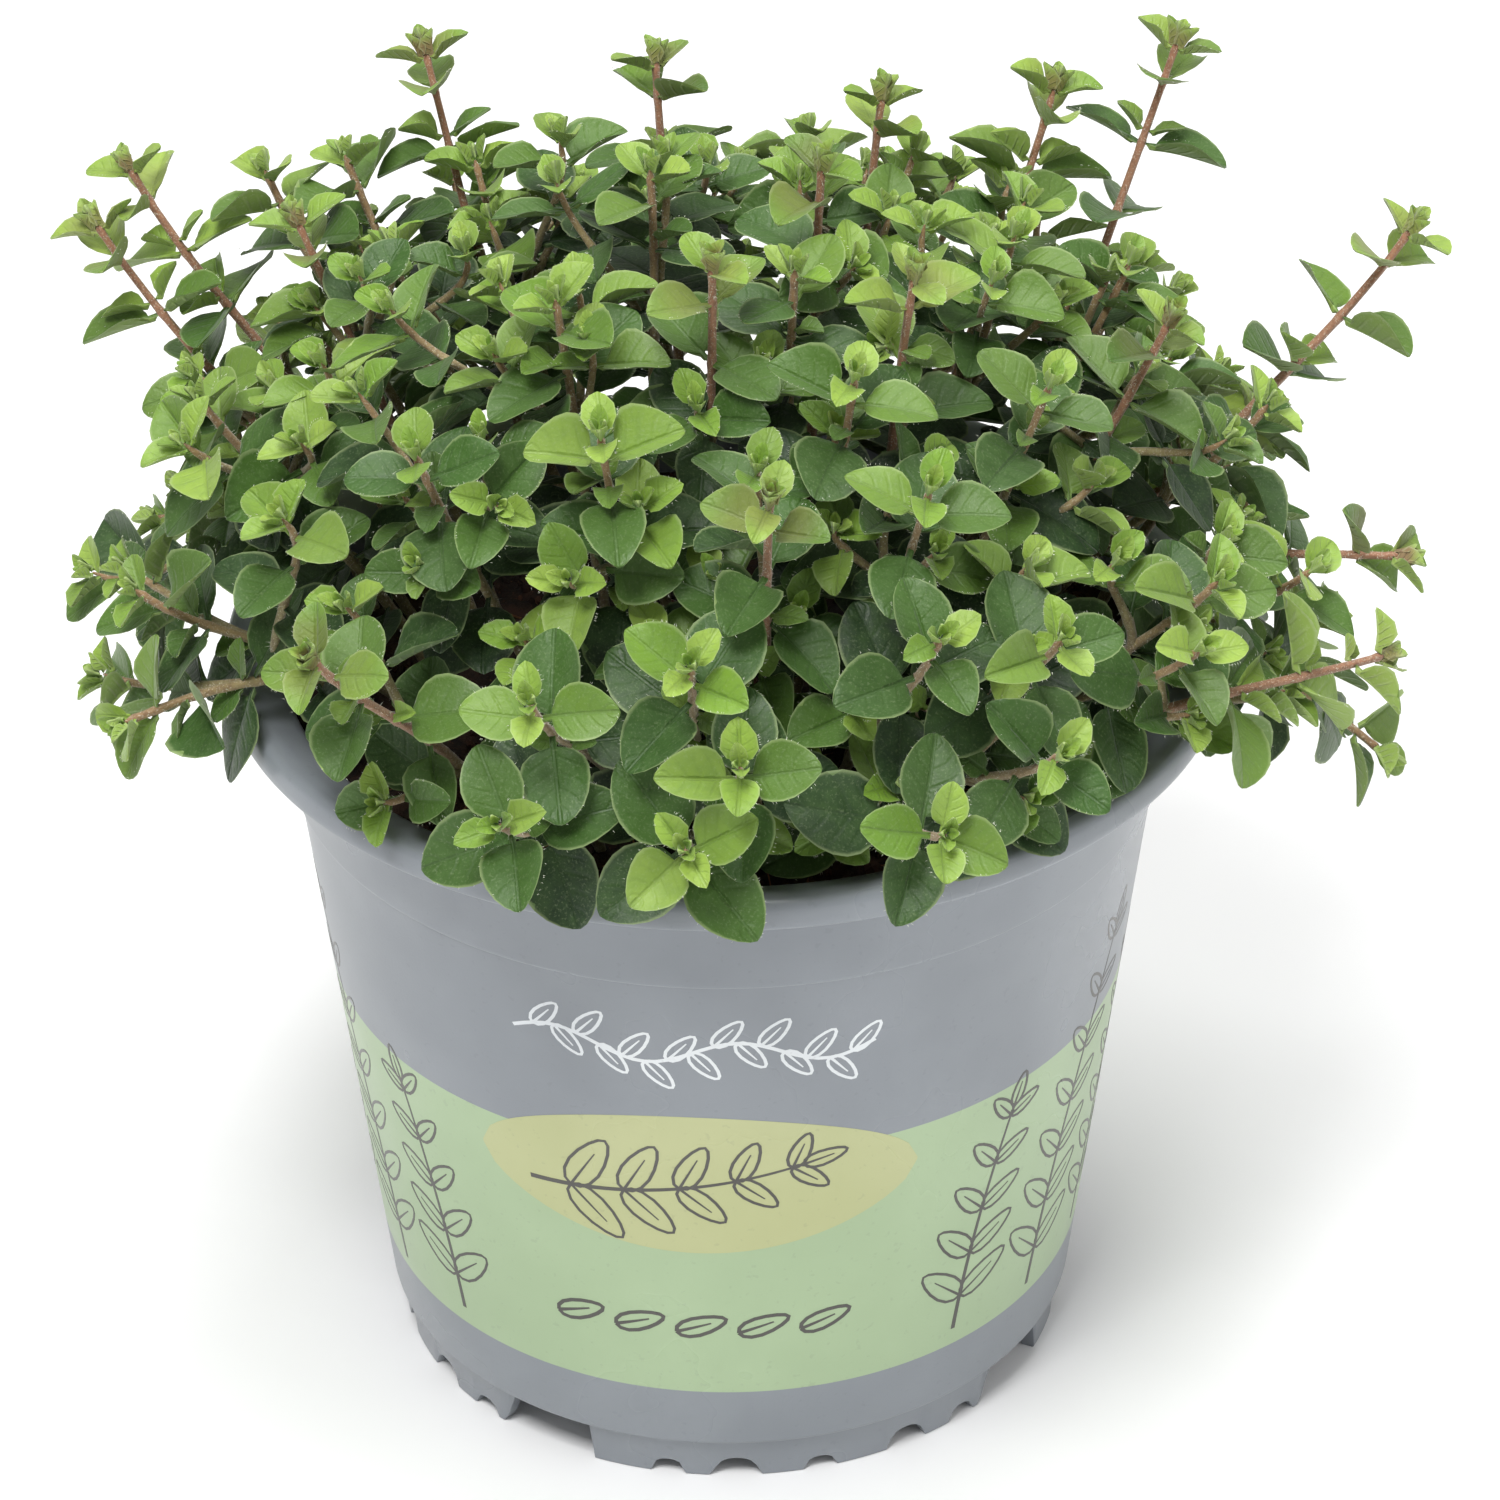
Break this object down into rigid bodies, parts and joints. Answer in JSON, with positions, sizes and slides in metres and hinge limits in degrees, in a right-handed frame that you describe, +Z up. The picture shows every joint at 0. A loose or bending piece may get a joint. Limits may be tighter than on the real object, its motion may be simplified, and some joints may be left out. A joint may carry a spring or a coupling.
{
  "type": "potted oregano plant",
  "caption": "Bushy oregano plant with hairy oval leaves in opposite pairs, growing out of soil in a tapered plastic nursery pot with a rolled lip and a notched foot.",
  "frame": {"origin": "the surface that the pot stands on, under the middle of the whole object's box", "axes": "+Z up along the pot's axis, -Y towards the front of the picture, +X to the right of it"},
  "size_m": [0.1814, 0.1642, 0.1728],
  "materials": {
    "pot_plastic": "grey injection-moulded polypropylene, satin, with a printed pale green band",
    "potting_soil": "rough dark red-brown coir and peat crumbs",
    "leafy_stem": "soft matt green leaves with fine pale hairs and sunken veins, on reddish-brown square stems",
    "young_shoot": "soft matt lime green young leaves with fine pale hairs, on reddish-purple square stems"
  },
  "bodies": {
    "root": {"pot": "pot_plastic", "rosette_01": "leafy_stem", "rosette_02": "leafy_stem", "rosette_03": "leafy_stem", "rosette_04": "leafy_stem", "rosette_05": "leafy_stem", "rosette_06": "leafy_stem", "rosette_07": "leafy_stem", "rosette_08": "leafy_stem", "rosette_09": "leafy_stem", "rosette_10": "leafy_stem", "rosette_11": "leafy_stem", "rosette_12": "leafy_stem", "rosette_13": "leafy_stem", "rosette_14": "leafy_stem", "rosette_15": "leafy_stem", "rosette_16": "leafy_stem", "rosette_17": "leafy_stem", "rosette_18": "leafy_stem", "rosette_19": "leafy_stem", "rosette_20": "leafy_stem", "rosette_21": "leafy_stem", "rosette_22": "leafy_stem", "rosette_23": "leafy_stem", "rosette_24": "leafy_stem", "rosette_25": "leafy_stem", "rosette_26": "leafy_stem", "rosette_27": "leafy_stem", "rosette_28": "leafy_stem", "rosette_29": "leafy_stem", "rosette_30": "leafy_stem", "rosette_48": "leafy_stem", "rosette_49": "leafy_stem", "rosette_51": "leafy_stem", "rosette_52": "leafy_stem", "rosette_54": "leafy_stem", "rosette_55": "leafy_stem", "soil": "potting_soil", "spire_31": "young_shoot", "spire_32": "young_shoot", "spire_33": "young_shoot", "spire_34": "young_shoot", "spire_35": "young_shoot", "spire_36": "young_shoot", "spire_37": "young_shoot", "spire_38": "young_shoot", "spire_39": "young_shoot", "spire_40": "young_shoot", "spire_41": "young_shoot", "spire_42": "young_shoot", "spire_43": "young_shoot", "spire_44": "young_shoot", "spire_45": "young_shoot", "spire_46": "young_shoot", "spire_47": "young_shoot", "spire_50": "young_shoot", "spire_53": "young_shoot", "spire_56": "young_shoot"}
  },
  "joints": []
}
